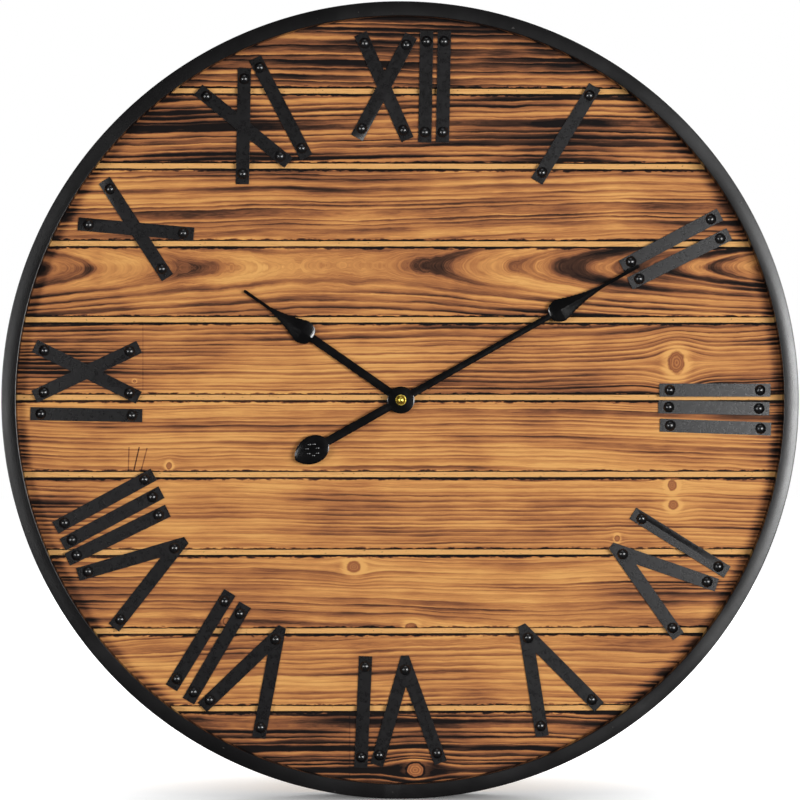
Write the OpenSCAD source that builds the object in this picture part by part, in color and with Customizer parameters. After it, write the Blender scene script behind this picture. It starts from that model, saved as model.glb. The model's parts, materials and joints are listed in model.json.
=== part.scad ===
// Large round wall clock: a plank face in a rolled steel ring, flat-bar Roman
// numerals nailed to the boards, and a quartz movement behind the face.
//
// Z is up, the wall is the plane y = 0, the face looks along -Y, and the
// origin is the clock's axis on the wall. Depths are measured out from the
// wall. Angles on the face run clockwise from 12, seen from the front.

/* [Ring] */
// Outside diameter of the ring
ring_d = 762; // [756:1:780]
// Width of the ring's flat front face
ring_face = 14; // [12:0.5:16]
// Thickness of the ring's sheet steel
ring_sheet = 1.5; // [1:0.25:2]
// How far the boards lie behind the ring's front face
recess = 14; // [14:1:20]

/* [Boards] */
// Thickness of the boards
board_t = 12; // [12:0.5:14]
// Heights of the joints between boards, from the top one down
seams = [296.5, 224.5, 150, 77, 2.5, -71.5, -146, -221.5, -296]; // nine falling values, 60 to 90 apart
// Width of the gap shown between two boards' faces
reveal = 5; // [4:0.5:6]
// Bevel along each board's front edges
board_bevel = 0.8; // [0.5:0.1:1.5]

/* [Numerals] */
// Width of the flat bar that the numerals are cut from
bar_w = 12.7; // [12:0.1:14]
// Thickness of that flat bar
bar_t = 1.5; // [1:0.25:2]
// Length of one plain bar
bar_len = 107; // [100:1:110]
// Diameter of a nail's domed head
nail_d = 10.5; // [9:0.5:11]
// Height of a nail's domed head
nail_h = 3.2; // [2.5:0.1:3.5]

/* [Hands] */
// Length of the hour hand, from the axis to its point
hour_len = 183; // [170:1:190]
// Length of the minute hand, from the axis to its point
minute_len = 262.5; // [250:0.5:270]
// Length of the minute hand's tail
tail_len = 116; // [110:1:125]
// Thickness of a hand
hand_t = 1; // [0.8:0.1:1.2]
// Where the hour hand points, clockwise from 12
hour_angle = 305; // [0:1:359]
// Where the minute hand points, clockwise from 12
minute_angle = 60.5; // [0:0.5:359.5]

/* [Movement] */
// Width and height of the movement's case
case_w = 56; // [56:1:60]
// Depth of the movement's case
case_t = 17; // [17:0.5:18]
// Room between the movement's case and the wall
wall_gap = 4; // [4:0.5:6]

/* [Hidden] */
$fn = 96;
// Depths, from the wall out
washer_t = 1;
panel_back = wall_gap + case_t + washer_t;
panel_front = panel_back + board_t;
ring_depth = panel_front + recess;
ring_r = ring_d / 2;
panel_r = ring_r - ring_sheet - 1;
case_front = wall_gap + case_t;
wall = 1.2;
fit = 0.05;

// Nails, screws and fittings
nail_shank_r = 1;
nail_shank = 10;
nail_inset = 10;
screw_r = 1.75;
screw_head_r = 3.5;
screw_len = 20;
bracket_t = 1.5;
bracket_w = 16;
bracket_foot = 24;
brackets = 8;
batten_x = 170;
batten_w = 40;
batten_t = 14;
batten_len = 620;
batten_screw_x = 16;
hanger_z = 245;
hanger_w = 24;
hanger_h = 56;
hanger_t = 1.5;
keyhole_r = 4.5;
keyslot_r = 2.2;
keyslot_rise = 12;

// Plates cut for the X and the V
x_leg = 111;
x_lean = 26;
v_lean = 17.9;
v_leg = 100;
v_tip = 3.75;
v_nail = 13.7;

// The numerals: hour, kind, offset clockwise, radius of the middle (of the
// point for a V) and lean clockwise. They are nailed on by hand, so no two
// sit quite alike.
strokes = [
  [12, "X", -16, 300.5, 2], [12, "I", 24, 300.5, 1], [12, "I", 41, 300.5, 1],
  [1, "I", 9.5, 300.5, 1.5],
  [2, "I", -3, 301.5, 2], [2, "I", 16.5, 300, 3.5],
  [3, "I", -9.5, 302, 0], [3, "I", 7.5, 301, 1], [3, "I", 26, 302.5, 2],
  [4, "I", -15.5, 301, 2], [4, "V", 20, 245, 7],
  [5, "V", 7.5, 245, 3],
  [6, "V", -4, 245, -2], [6, "I", 36, 299, 2.5],
  [7, "V", -10.5, 245, -1.5], [7, "I", 31.5, 298, 0.5], [7, "I", 51, 295, 1.5],
  [8, "V", -13.5, 245, -4], [8, "I", 23.5, 299.5, 4], [8, "I", 40, 296, 2], [8, "I", 58, 294, 1.5],
  [9, "I", -14, 301, 1], [9, "X", 27, 300.5, 0.5],
  [10, "X", 15, 301.5, 1],
  [11, "X", 0.5, 302.5, 5], [11, "I", 40.5, 300, 2.5]
];
bar_hours = [12, 1, 2, 3, 4, 6, 7, 8, 9, 11];
x_hours = [12, 9, 10, 11];
v_hours = [4, 5, 6, 7, 8];

// The wheels' places on the movement, from the axis, seen from the front
motion_at = 10.5 * [cos(35), sin(35)];
third_at = 10.2 * [cos(170), sin(170)];
reduction_at = 10.5 * [cos(95), sin(95)];
rotor_at = reduction_at + 8.75 * [cos(30), sin(30)];
hour_mod = 0.42;
minute_mod = 0.4375;
centre_mod = 17 / 60;
third_mod = 0.3;
seconds_mod = 0.35;
rotor_mod = 0.25;

// Radii and depths along the axis
arbor_r = 1.4;
tube_r = 2.4;
bush_r = 3.9;
panel_hole_r = 4.2;
pivot_r = 0.4;
knob_shaft_r = 0.9;
knob_shaft_end = 16.4;
nut_t = 2;
nut_flats = 10;
plate_washer_t = 0.6;
bush_top = panel_front + 2.8;
hour_hand_at = panel_front + 3.9;
minute_hand_at = panel_front + 6.7;
cap_at = minute_hand_at + hand_t;
cap_r = 5.15;
cap_h = 4.6;

// Battery, a standard AA cell
cell_r = 7.1;
cell_len = 48.9;
cell_nub = 1.3;
cell_left = -25.9;
cell_y = -19.4;
cell_at = wall_gap + wall + 0.1 + cell_r;
contact_x = 26.3;
bay_wall_y = -12.1;

function board_name(i) = str("board_", i < 9 ? "0" : "", i + 1);
function at_hour(h) = [for (s = strokes) if (s[0] == h) s];

// Stands children on a plane at this depth: their Z points to the front, their Y up
module out(depth) {
  translate([0, -depth, 0]) rotate([90, 0, 0]) children();
}

module disc(r, from, to) {
  out(from) cylinder(r = r, h = to - from);
}

module tube(r_in, r_out, from, to) {
  out(from) difference() {
    cylinder(r = r_out, h = to - from);
    translate([0, 0, -1]) cylinder(r = r_in, h = to - from + 2);
  }
}

// A flat outline as a plate between two depths
module plate(from, to) {
  out(from) linear_extrude(to - from) children();
}

// Puts children at a stroke's place on the face
module on_face(s) {
  rotate([0, 0, -30 * s[0]]) translate([s[2], s[3]]) rotate([0, 0, -s[4]]) children();
}

// ---- Ring and face ----

module ring() color("#2b282b") {
  lip = ring_r - ring_face;
  out(0) rotate_extrude($fn = 240) polygon([
    [ring_r, 0], [ring_r, ring_depth], [lip, ring_depth], [lip, panel_front],
    [lip + ring_sheet, panel_front], [lip + ring_sheet, ring_depth - ring_sheet],
    [ring_r - ring_sheet, ring_depth - ring_sheet], [ring_r - ring_sheet, 0]
  ]);
}

// Section of a board with its groove below and tongue above; x runs to the front
module board_section(low, high) {
  butt = 0.15;
  third = board_t / 3;
  tongue = 6.2;
  groove = 6.5;
  slack = 0.1;
  g0 = panel_back + third;
  g1 = panel_front - third;
  polygon([
    [panel_back, low + butt], [g0, low + butt], [g0, low + groove], [g1, low + groove],
    [g1, low + reveal / 2], [panel_front - board_bevel, low + reveal / 2],
    [panel_front, low + reveal / 2 + board_bevel], [panel_front, high - reveal / 2 - board_bevel],
    [panel_front - board_bevel, high - reveal / 2], [g1 - slack, high - reveal / 2],
    [g1 - slack, high + tongue], [g0 + slack, high + tongue], [g0 + slack, high - butt],
    [panel_back, high - butt]
  ]);
}

module board(i) color(i % 2 == 0 ? "#b67a48" : "#c58a54") {
  edge = panel_r + 20;
  high = i == 0 ? edge : seams[i - 1];
  low = i == len(seams) ? -edge : seams[i];
  difference() {
    intersection() {
      out(panel_back) cylinder(r = panel_r, h = board_t, $fn = 240);
      rotate([90, 0, -90]) linear_extrude(2 * edge, center = true) board_section(low, high);
    }
    if (low < panel_hole_r && high > -panel_hole_r) disc(panel_hole_r, panel_back - 1, panel_front + 1);
  }
}

// ---- Numerals ----

module i_outline() {
  square([bar_w, bar_len], center = true);
}

module x_outline() {
  for (side = [-1, 1]) rotate([0, 0, side * x_lean]) square([bar_w, x_leg], center = true);
}

// One plate with its point at the origin, its two legs opening upwards
module v_outline() {
  across = bar_w / 2 / cos(v_lean);
  cross_y = (across - v_tip) / tan(v_lean);
  notch = cross_y + across / tan(v_lean);
  end = [v_leg * sin(v_lean), cross_y + v_leg * cos(v_lean)];
  half = bar_w / 2 * [cos(v_lean), -sin(v_lean)];
  outer = end + half;
  inner = end - half;
  polygon([
    [-v_tip, 0], [v_tip, 0], outer, inner, [0, notch], [-inner[0], inner[1]], [-outer[0], outer[1]]
  ]);
}

function v_cross() = (bar_w / 2 / cos(v_lean) - v_tip) / tan(v_lean);

// Where one stroke's nails go, in the stroke's own place
function nail_spots(kind) =
  kind == "I" ? [for (end = [-1, 1]) [0, end * (bar_len / 2 - nail_inset)]] :
  kind == "X" ? [for (a = [-1, 1], end = [-1, 1])
    end * (x_leg / 2 - nail_inset) * [a * sin(x_lean), cos(x_lean)]] :
  [[0, v_nail], for (a = [-1, 1])
    [a * (v_leg - nail_inset) * sin(v_lean), v_cross() + (v_leg - nail_inset) * cos(v_lean)]];

module nail_holes(s) {
  for (p = nail_spots(s[1])) translate(p) circle(r = nail_shank_r + fit, $fn = 24);
}

module numeral(hour, kind) color("#343134") {
  plate(panel_front, panel_front + bar_t) for (s = at_hour(hour)) if (s[1] == kind) on_face(s) {
    difference() {
      if (kind == "I") i_outline();
      if (kind == "X") x_outline();
      if (kind == "V") v_outline();
      nail_holes(s);
    }
  }
}

// A nail along +Z with its head's flat underside at z = 0
module nail() {
  dome_r = (pow(nail_d / 2, 2) + pow(nail_h, 2)) / (2 * nail_h);
  rotate_extrude($fn = 32) {
    intersection() {
      translate([0, nail_h - dome_r]) circle(r = dome_r, $fn = 96);
      square([nail_d, nail_h]);
    }
    translate([0, -nail_shank]) square([nail_shank_r, nail_shank + nail_h / 2]);
  }
}

module nails() color("#1a191b") {
  out(panel_front + bar_t) for (s = strokes) on_face(s) for (p = nail_spots(s[1])) translate(p) nail();
}

// ---- Back of the face ----

module keyhole(r_round, r_slot) {
  circle(r = r_round);
  translate([-r_slot, 0]) square([2 * r_slot, keyslot_rise]);
  translate([0, keyslot_rise]) circle(r = r_slot);
}

module batten(side) color("#c9a06a") {
  pocket = 8;
  difference() {
    out(panel_back - batten_t) translate([side * batten_x - batten_w / 2, -batten_len / 2])
      cube([batten_w, batten_len, batten_t]);
    translate([side * batten_x, 0, hanger_z]) plate(panel_back - batten_t - 1, panel_back - batten_t + pocket)
      keyhole(keyhole_r + 2.5, keyhole_r + 1.5);
  }
}

module batten_left() {
  batten(-1);
}

module batten_right() {
  batten(1);
}

function hanger_screws() = [-1, 1] * (hanger_h / 2 - 6);

// Keyhole plates that drop over the heads of two wall screws
module hanger_plates() color("#9a9ca0") {
  back = panel_back - batten_t;
  mid = keyslot_rise / 2;
  for (side = [-1, 1]) translate([side * batten_x, 0, hanger_z]) plate(back - hanger_t, back) difference() {
    translate([-hanger_w / 2, mid - hanger_h / 2]) square([hanger_w, hanger_h]);
    keyhole(keyhole_r, keyslot_r);
    for (z = hanger_screws()) translate([0, mid + z]) circle(r = screw_r + fit);
  }
}

// Small angle irons: one leg on the ring's inside, the foot on the boards' back
module rim_brackets() color("#3a383a") {
  r_out = ring_r - ring_sheet;
  for (k = [0:brackets - 1]) rotate([0, (k + 0.5) * 360 / brackets, 0]) difference() {
    intersection() {
      union() {
        tube(r_out - bracket_t, r_out, panel_back - 16, panel_back);
        tube(r_out - bracket_foot, r_out, panel_back - bracket_t, panel_back);
      }
      translate([-bracket_w / 2, -panel_back, 0]) cube([bracket_w, panel_back, ring_r]);
    }
    translate([0, 0, r_out - bracket_foot / 2]) disc(screw_r + fit, 0, panel_back + 1);
  }
}

// A round-headed wood screw along +Z, its head behind the surface at z = 0
module wood_screw(length) {
  head_h = 2;
  rotate_extrude($fn = 32) polygon([
    [0, -head_h], [screw_head_r - 1, -head_h], [screw_head_r, -head_h / 2], [screw_head_r, 0],
    [screw_r, 0], [screw_r, length - 3], [0, length]
  ]);
}

module wood_screws() color("#8d8f92") {
  mid = keyslot_rise / 2;
  short = 10;
  for (side = [-1, 1], i = [0:len(seams)]) {
    high = i == 0 ? batten_len / 2 + 4 : seams[i - 1];
    low = i == len(seams) ? -batten_len / 2 - 4 : seams[i];
    out(panel_back - batten_t) translate([side * (batten_x + batten_screw_x), (high + low) / 2]) wood_screw(screw_len);
  }
  for (side = [-1, 1], z = hanger_screws())
    out(panel_back - batten_t - hanger_t) translate([side * batten_x, hanger_z + mid + z]) wood_screw(short);
  for (k = [0:brackets - 1]) rotate([0, (k + 0.5) * 360 / brackets, 0])
    out(panel_back - bracket_t) translate([0, ring_r - ring_sheet - bracket_foot / 2]) wood_screw(short);
}

// ---- Movement: fixed pieces ----

module rounded_square(w, r) {
  square([w - 2 * r, w], center = true);
  square([w, w - 2 * r], center = true);
  for (x = [-1, 1], y = [-1, 1]) translate([x, y] * (w / 2 - r)) circle(r = r);
}

// Front shell: plate with pivot sockets, side walls, the battery bay's wall,
// posts for the circuit board and stator, and the bush that passes through the face
module movement_case() color("#1d1d1f") {
  inside = case_w - 2 * wall;
  back = wall_gap + wall;
  difference() {
    union() {
      plate(case_front - wall, case_front) rounded_square(case_w, 3);
      plate(back, case_front) difference() {
        rounded_square(case_w, 3);
        square(inside, center = true);
      }
      plate(back, case_front) translate([-inside / 2, bay_wall_y]) square([inside, 1]);
      disc(bush_r, case_front - wall, bush_top);
      for (p = [[-24, -3], [-24, 17]]) translate([p[0], 0, p[1]]) disc(1.2, 14.8, case_front);
      for (x = [-13.25, 17.25]) translate([x, 0, 14.8]) disc(1.2, 10, case_front);
    }
    disc(tube_r + fit, 0, ring_depth);
    for (p = [third_at, reduction_at, rotor_at, motion_at])
      translate([p[0], 0, p[1]]) disc(pivot_r + fit, back, case_front - 0.5);
  }
}

module movement_cover() color("#29292b") {
  back = wall_gap + wall;
  lip = case_w - 2 * wall - 0.3;
  difference() {
    union() {
      plate(wall_gap, back) rounded_square(case_w, 3);
      plate(back, back + 1) difference() {
        translate([-lip / 2, bay_wall_y + 1.3]) square([lip, lip / 2 - bay_wall_y - 1.3]);
        translate([-lip / 2 + 1, bay_wall_y + 2.3]) square([lip - 2, lip / 2 - bay_wall_y - 3.3]);
      }
    }
    plate(wall_gap - 1, back + 2) translate([-26.2, -26.8]) square([52.4, 26.8 + bay_wall_y]);
    for (p = [[0, 0], third_at, reduction_at, rotor_at])
      translate([p[0], 0, p[1]]) disc(pivot_r + fit, wall_gap + 0.5, back + 1);
    translate([motion_at[0], 0, motion_at[1]]) disc(knob_shaft_r + fit, 0, back + 1);
  }
}

module rubber_washer() color("#303032") {
  tube(panel_hole_r, 11, case_front, panel_back);
}

module face_washer() color("#b08d3c") {
  tube(bush_r + fit, 9, panel_front, panel_front + plate_washer_t);
}

module fixing_nut() color("#b08d3c") {
  from = panel_front + plate_washer_t;
  out(from) difference() {
    cylinder(r = nut_flats / 2 / cos(30), h = nut_t, $fn = 6);
    translate([0, 0, -1]) cylinder(r = bush_r, h = nut_t + 2);
  }
}

module circuit_board() color("#2e6b3c") {
  plate(14, 14.8) translate([-26, -6]) square([11, 26]);
  translate([-20, 0, 2]) disc(2.2, 13, 14);
}

module quartz_crystal() color("#c8cacc") {
  translate([-18, -16, 6]) cylinder(r = 1.1, h = 6.5);
  for (x = [-18.5, -17.5]) translate([x, -16, 3.5]) cylinder(r = 0.2, h = 2.5, $fn = 24);
}

module coil_core() color("#85878a") {
  plate(10, 11) translate([-15, 22.2]) square([34, 3.2]);
}

module drive_coil() color("#b4622e") {
  difference() {
    translate([-10.5, -10.5, 23.8]) rotate([0, 90, 0]) union() {
      cylinder(r = 2.5, h = 25);
      for (x = [0, 24.2]) translate([0, 0, x]) cylinder(r = 2.8, h = 0.8);
    }
    plate(10, 11) translate([-15, 22.2]) square([34, 3.2]);
  }
}

module stator() color("#909296") {
  arm_y = 13.2;
  plate(9, 10) difference() {
    union() {
      translate(rotor_at) circle(r = 5.2);
      translate([-15, arm_y]) square([34, 3.3]);
      for (x = [-15, 15.5]) translate([x, arm_y]) square([3.5, 25.4 - arm_y]);
    }
    translate(rotor_at) circle(r = 3.5);
  }
}

module battery_contacts() color("#b9bbbd") {
  for (x = [-contact_x - 0.4, contact_x]) translate([x, -cell_at - 4, cell_y - 5]) cube([0.4, 8, 10]);
  cell_right = cell_left + cell_nub + cell_len;
  translate([cell_right + fit, -cell_at, cell_y]) rotate([0, 90, 0]) difference() {
    cylinder(r1 = 3.2, r2 = 4.2, h = contact_x - cell_right - fit);
    translate([0, 0, -1]) cylinder(r = 2.6, h = 10);
  }
}

module battery() color("#7d8287") {
  translate([cell_left, -cell_at, cell_y]) rotate([0, 90, 0]) {
    translate([0, 0, cell_nub]) cylinder(r = cell_r, h = cell_len);
    cylinder(r = 2.6, h = cell_nub);
  }
}

// ---- Movement: wheels ----

// Toothed ring with one tooth centred on the angle `aim`
module gear(teeth, mod, thick, aim, pinion) {
  pitch = 360 / teeth;
  tip = pinion ? 0.07 : 0.08;
  root = pinion ? 0.2 : 0.28;
  r_tip = mod * (teeth / 2 + 0.6);
  r_root = mod * (teeth / 2 - 0.85);
  linear_extrude(thick) polygon([
    for (i = [0:teeth - 1], p = [[r_root, -root], [r_tip, -tip], [r_tip, tip], [r_root, root]])
      p[0] * [cos(aim + (i + p[1]) * pitch), sin(aim + (i + p[1]) * pitch)]
  ]);
}

// The angle for a wheel's first tooth when a pinion's tooth meets it from direction `a`
function facing(a, teeth) = a + 180 + 180 / teeth;
function direction(from, to) = atan2(to[1] - from[1], to[0] - from[0]);

module at(p) {
  translate([p[0], 0, p[1]]) children();
}

pivot_back = wall_gap + 0.6;
pivot_front = case_front - 0.6;

module rotor() color("#5a5c60") {
  at(rotor_at) {
    disc(pivot_r, pivot_back, pivot_front);
    disc(3, 8, 11);
    out(5.6) gear(10, rotor_mod, 1.2, direction(rotor_at, reduction_at), true);
  }
}

module reduction_wheel() color("#e8e4d8") {
  at(reduction_at) {
    disc(pivot_r, pivot_back, pivot_front);
    out(5.8) gear(60, rotor_mod, 0.8, facing(direction(rotor_at, reduction_at), 60), false);
    out(6.6) gear(10, seconds_mod, 1.6, direction(reduction_at, [0, 0]), true);
  }
}

module seconds_wheel() color("#e8e4d8") {
  disc(pivot_r, pivot_back, 12.4);
  out(7) gear(50, seconds_mod, 0.8, facing(direction(reduction_at, [0, 0]), 50), false);
  out(7.8) gear(8, third_mod, 2.4, direction([0, 0], third_at), true);
}

module third_wheel() color("#e8e4d8") {
  at(third_at) {
    disc(pivot_r, pivot_back, pivot_front);
    out(9) gear(60, third_mod, 0.8, facing(direction([0, 0], third_at), 60), false);
    out(9.8) gear(8, centre_mod, 3, direction(third_at, [0, 0]), true);
  }
}

// Driven by the train; it grips the minute arbor only by friction, so the hands can be set
module centre_wheel() color("#e8e4d8") {
  difference() {
    union() {
      out(11.4) gear(64, centre_mod, 0.8, facing(direction(third_at, [0, 0]), 64), false);
      disc(2.6, 11.4, 14.2);
    }
    disc(arbor_r + fit, 10, 15);
  }
}

module minute_arbor() color("#c9a441") {
  difference() {
    union() {
      disc(arbor_r, 10.8, cap_at + 2.6);
      out(14.6) gear(12, minute_mod, 2, direction([0, 0], motion_at), true);
    }
    disc(pivot_r + fit, 10, 12.6);
  }
}

// Gears the hour hand down from the minute hand; pressed on the setting knob's shaft
module motion_wheel() color("#e8e4d8") {
  at(motion_at) difference() {
    union() {
      disc(1.6, 13.5, 15.2);
      out(15.2) gear(36, minute_mod, 0.8, facing(direction([0, 0], motion_at), 36), false);
      out(16) gear(10, hour_mod, 3.2, direction(motion_at, [0, 0]), true);
      disc(pivot_r, 19.2, pivot_front);
    }
    disc(knob_shaft_r, 13, knob_shaft_end);
  }
}

// Milled knob on the back, turned by hand to set the time
module setting_knob() color("#d8d4c8") {
  at(motion_at) {
    disc(knob_shaft_r, 3, knob_shaft_end);
    out(1.5) gear(20, 0.45, 2, 0, false);
  }
}

module hour_wheel() color("#e8e4d8") {
  difference() {
    union() {
      out(17.6) gear(40, hour_mod, 1.2, facing(direction(motion_at, [0, 0]), 40), false);
      disc(tube_r, 17, hour_hand_at + hand_t + 0.6);
    }
    disc(arbor_r + fit, 16, hour_hand_at + 5);
  }
}

// ---- Hands ----

// Half width of a leaf at u, from its root, through its widest point, to its end
function leaf_half(u, root, wide, end, neck, w, needle) =
  u < wide ? neck + (w - neck) * sqrt(1 - pow((wide - u) / (wide - root), 2)) :
  needle + (w - needle) * pow((end - u) / (end - wide), 1.6);

// Leaf-shaped blade with its point along +Y: an arm that tapers to the neck, the leaf and the needle
module blade(length, root, wide, end, arm, neck, w, needle) {
  steps = 8;
  us = [for (k = [0:steps]) root + (wide - root) * (1 - cos(90 * k / steps)),
    for (k = [1:steps + 4]) wide + (end - wide) * k / (steps + 4)];
  half = [for (u = us) [leaf_half(u, root, wide, end, neck, w, needle), u]];
  polygon(concat([[arm, 0]], half, [[needle, length - 1], [0.4, length], [-0.4, length], [-needle, length - 1]],
    [for (k = [len(half) - 1:-1:0]) [-half[k][0], half[k][1]]], [[-arm, 0]]));
}

module hour_hand() color("#161518") {
  from = hour_hand_at;
  plate(from, from + hand_t) rotate([0, 0, -hour_angle]) difference() {
    union() {
      blade(hour_len, 103.5, 115.5, 160, 4, 3.7, 11.5, 1.1);
      circle(r = 12);
    }
    circle(r = tube_r);
  }
}

// Egg-shaped counterweight on the minute hand's tail
module tail_outline() {
  root = 80.5;
  wide = 96;
  w = 13.3;
  arm = 4;
  steps = 14;
  inner = [for (k = [0:steps]) let (a = 90 * k / steps)
    [max(arm, w * sin(a)), root + (wide - root) * (1 - cos(a))]];
  outer = [for (k = [1:steps]) let (x = sin(90 * k / steps))
    [w * pow(max(0, 1 - x * x), 0.65), wide + (tail_len - wide) * x]];
  side = concat(inner, [for (p = outer) if (p[0] > 0.3) p]);
  polygon(concat([[arm, 0]], side, [[0, tail_len]], [for (k = [len(side) - 1:-1:0]) [-side[k][0], side[k][1]]],
    [[-arm, 0]]));
}

module minute_hand() color("#161518") {
  from = minute_hand_at;
  plate(from, from + hand_t) rotate([0, 0, -minute_angle]) difference() {
    union() {
      blade(minute_len, 164, 176, 224, 3.8, 2.6, 11.1, 1.3);
      rotate([0, 0, 180]) tail_outline();
      circle(r = 13);
    }
    circle(r = arbor_r);
  }
}

module cap_nut() color("#c59a3c") {
  dome_r = (pow(cap_r, 2) + pow(cap_h, 2)) / (2 * cap_h);
  out(cap_at) difference() {
    rotate_extrude() intersection() {
      translate([0, cap_h - dome_r]) circle(r = dome_r);
      square([cap_r, cap_h]);
    }
    translate([0, 0, -1]) cylinder(r = arbor_r, h = 3.6);
  }
}

ring();
for (i = [0:len(seams)]) board(i);
for (h = bar_hours) numeral(h, "I");
for (h = x_hours) numeral(h, "X");
for (h = v_hours) numeral(h, "V");
nails();
batten_left();
batten_right();
hanger_plates();
rim_brackets();
wood_screws();
movement_case();
movement_cover();
rubber_washer();
face_washer();
fixing_nut();
circuit_board();
quartz_crystal();
drive_coil();
coil_core();
stator();
battery_contacts();
battery();
rotor();
reduction_wheel();
seconds_wheel();
third_wheel();
centre_wheel();
minute_arbor();
motion_wheel();
setting_knob();
hour_wheel();
hour_hand();
minute_hand();
cap_nut();
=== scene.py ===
from collections import namedtuple
import json
import math

import bmesh
import bpy
import numpy as np
from mathutils import Matrix, Vector


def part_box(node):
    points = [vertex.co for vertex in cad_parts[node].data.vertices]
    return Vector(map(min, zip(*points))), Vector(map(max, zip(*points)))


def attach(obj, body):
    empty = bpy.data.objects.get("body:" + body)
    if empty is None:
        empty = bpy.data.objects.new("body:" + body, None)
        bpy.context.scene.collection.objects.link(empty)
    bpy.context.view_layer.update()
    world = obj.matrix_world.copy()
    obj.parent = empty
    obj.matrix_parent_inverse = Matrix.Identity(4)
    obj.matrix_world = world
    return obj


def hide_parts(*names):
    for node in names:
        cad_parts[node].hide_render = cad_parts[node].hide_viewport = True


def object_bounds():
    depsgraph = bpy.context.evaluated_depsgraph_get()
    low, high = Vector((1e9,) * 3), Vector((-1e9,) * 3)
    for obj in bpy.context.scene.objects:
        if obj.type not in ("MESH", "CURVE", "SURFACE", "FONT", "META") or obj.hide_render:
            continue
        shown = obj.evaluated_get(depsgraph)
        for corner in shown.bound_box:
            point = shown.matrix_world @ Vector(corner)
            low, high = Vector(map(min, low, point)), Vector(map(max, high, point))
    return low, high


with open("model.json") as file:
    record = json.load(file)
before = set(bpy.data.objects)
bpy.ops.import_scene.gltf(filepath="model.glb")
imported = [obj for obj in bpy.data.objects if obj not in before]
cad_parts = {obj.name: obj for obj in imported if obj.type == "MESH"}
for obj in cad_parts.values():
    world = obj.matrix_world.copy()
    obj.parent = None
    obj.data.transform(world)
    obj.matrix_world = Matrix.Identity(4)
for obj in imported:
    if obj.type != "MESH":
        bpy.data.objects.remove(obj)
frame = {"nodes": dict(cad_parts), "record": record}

# Looks of the wall clock. Metres, Z up, the wall is y = 0 and the face looks along -Y.
# "Depth" is the distance out from the wall, so y = -depth. Angles on the face run clockwise from 12.

MM = 0.001
TAU = 2 * math.pi
NODES = frame["nodes"]
RECORD = frame["record"]
SLOT_OF = {s["node"]: s["material_slot"] for s in RECORD["subparts"]}
BODY_OF = {n: b for b, members in RECORD["behaviour"]["bodies"].items() for n in members}
CAD_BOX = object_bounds()

RING_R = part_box("ring")[1].x
RING_FRONT = -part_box("ring")[0].y
DISC_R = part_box("board_06")[1].x
FACE = -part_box("board_06")[0].y
FACE_BACK = -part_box("board_06")[1].y


def rgb(red, green, blue):
    """An sRGB colour, 0 to 255, as the linear one that shaders take."""
    linear = [c / 3294.6 if c <= 10 else ((c / 255 + 0.055) / 1.055) ** 2.4 for c in (red, green, blue)]
    return (*linear, 1.0)


# ---- Meshes ----

def clean(mesh, merge=1e-6):
    """Merges doubled points, drops faces with no area and turns every face outwards."""
    bm = bmesh.new()
    bm.from_mesh(mesh)
    bmesh.ops.remove_doubles(bm, verts=bm.verts, dist=merge)
    bmesh.ops.dissolve_degenerate(bm, edges=bm.edges, dist=merge)
    bmesh.ops.recalc_face_normals(bm, faces=bm.faces)
    bm.to_mesh(mesh)
    bm.free()


def placed(name, data):
    """A new object in the scene."""
    obj = bpy.data.objects.new(name, data)
    bpy.context.scene.collection.objects.link(obj)
    return obj


def shaded(name, mesh, materials, sharp):
    """A new smooth-shaded object in the scene, with edges over `sharp` degrees left hard."""
    for material in materials:
        mesh.materials.append(material)
    mesh.shade_smooth()
    mesh.set_sharp_from_angle(angle=math.radians(sharp))
    return placed(name, mesh)


def object_of(name, verts, faces, material, sharp=35):
    """A new object from points and faces."""
    mesh = bpy.data.meshes.new(name)
    mesh.from_pydata(verts, [], faces)
    clean(mesh)
    return shaded(name, mesh, [material], sharp)


def stand_for(obj, *nodes):
    """obj replaces these CAD nodes: it rides on their body, and the nodes are hidden."""
    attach(obj, BODY_OF[nodes[0]])
    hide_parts(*nodes)
    return obj


def turned(profile, segments, closed=False):
    """Points and faces of (radius, depth) points turned round the clock's axis."""
    count = len(profile)
    verts = [(r * math.cos(TAU * k / segments), -d, r * math.sin(TAU * k / segments))
             for k in range(segments) for r, d in profile]
    faces = []
    for k in range(segments):
        here, there = k * count, (k + 1) % segments * count
        for i in range(count if closed else count - 1):
            j = (i + 1) % count
            faces.append((here + i, here + j, there + j, there + i))
    return verts, faces


def lofted(rows, count):
    """Faces that join `rows` closed loops of `count` points each, with a cap at both ends."""
    faces = []
    for start in range(0, (rows - 1) * count, count):
        for i in range(count):
            j = (i + 1) % count
            faces.append((start + i, start + j, start + count + j, start + count + i))
    return faces + [tuple(range(count - 1, -1, -1)), tuple(range((rows - 1) * count, rows * count))]


def moved(verts, matrix):
    return [matrix @ Vector(v) for v in verts]


def joined(parts):
    """Several (points, faces) pairs as one."""
    verts, faces = [], []
    for part_verts, part_faces in parts:
        start = len(verts)
        verts += part_verts
        faces += [tuple(start + i for i in face) for face in part_faces]
    return verts, faces


def box_mesh(lo, hi):
    verts = [(x, y, z) for x in (lo[0], hi[0]) for y in (lo[1], hi[1]) for z in (lo[2], hi[2])]
    return verts, [(0, 1, 3, 2), (4, 6, 7, 5), (0, 4, 5, 1), (2, 3, 7, 6), (0, 2, 6, 4), (1, 5, 7, 3)]


def rounded(points, radius, steps=3):
    """A closed outline with every corner rounded by `radius`."""
    out = []
    count = len(points)
    for i, corner in enumerate(points):
        corner = Vector(corner)
        before, after = Vector(points[i - 1]) - corner, Vector(points[(i + 1) % count]) - corner
        reach = min(radius, before.length * 0.45, after.length * 0.45)
        start, end = corner + before.normalized() * reach, corner + after.normalized() * reach
        for s in range(steps + 1):
            t = s / steps
            out.append(tuple(start * (1 - t) ** 2 + corner * 2 * t * (1 - t) + end * t ** 2))
    return out


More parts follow.
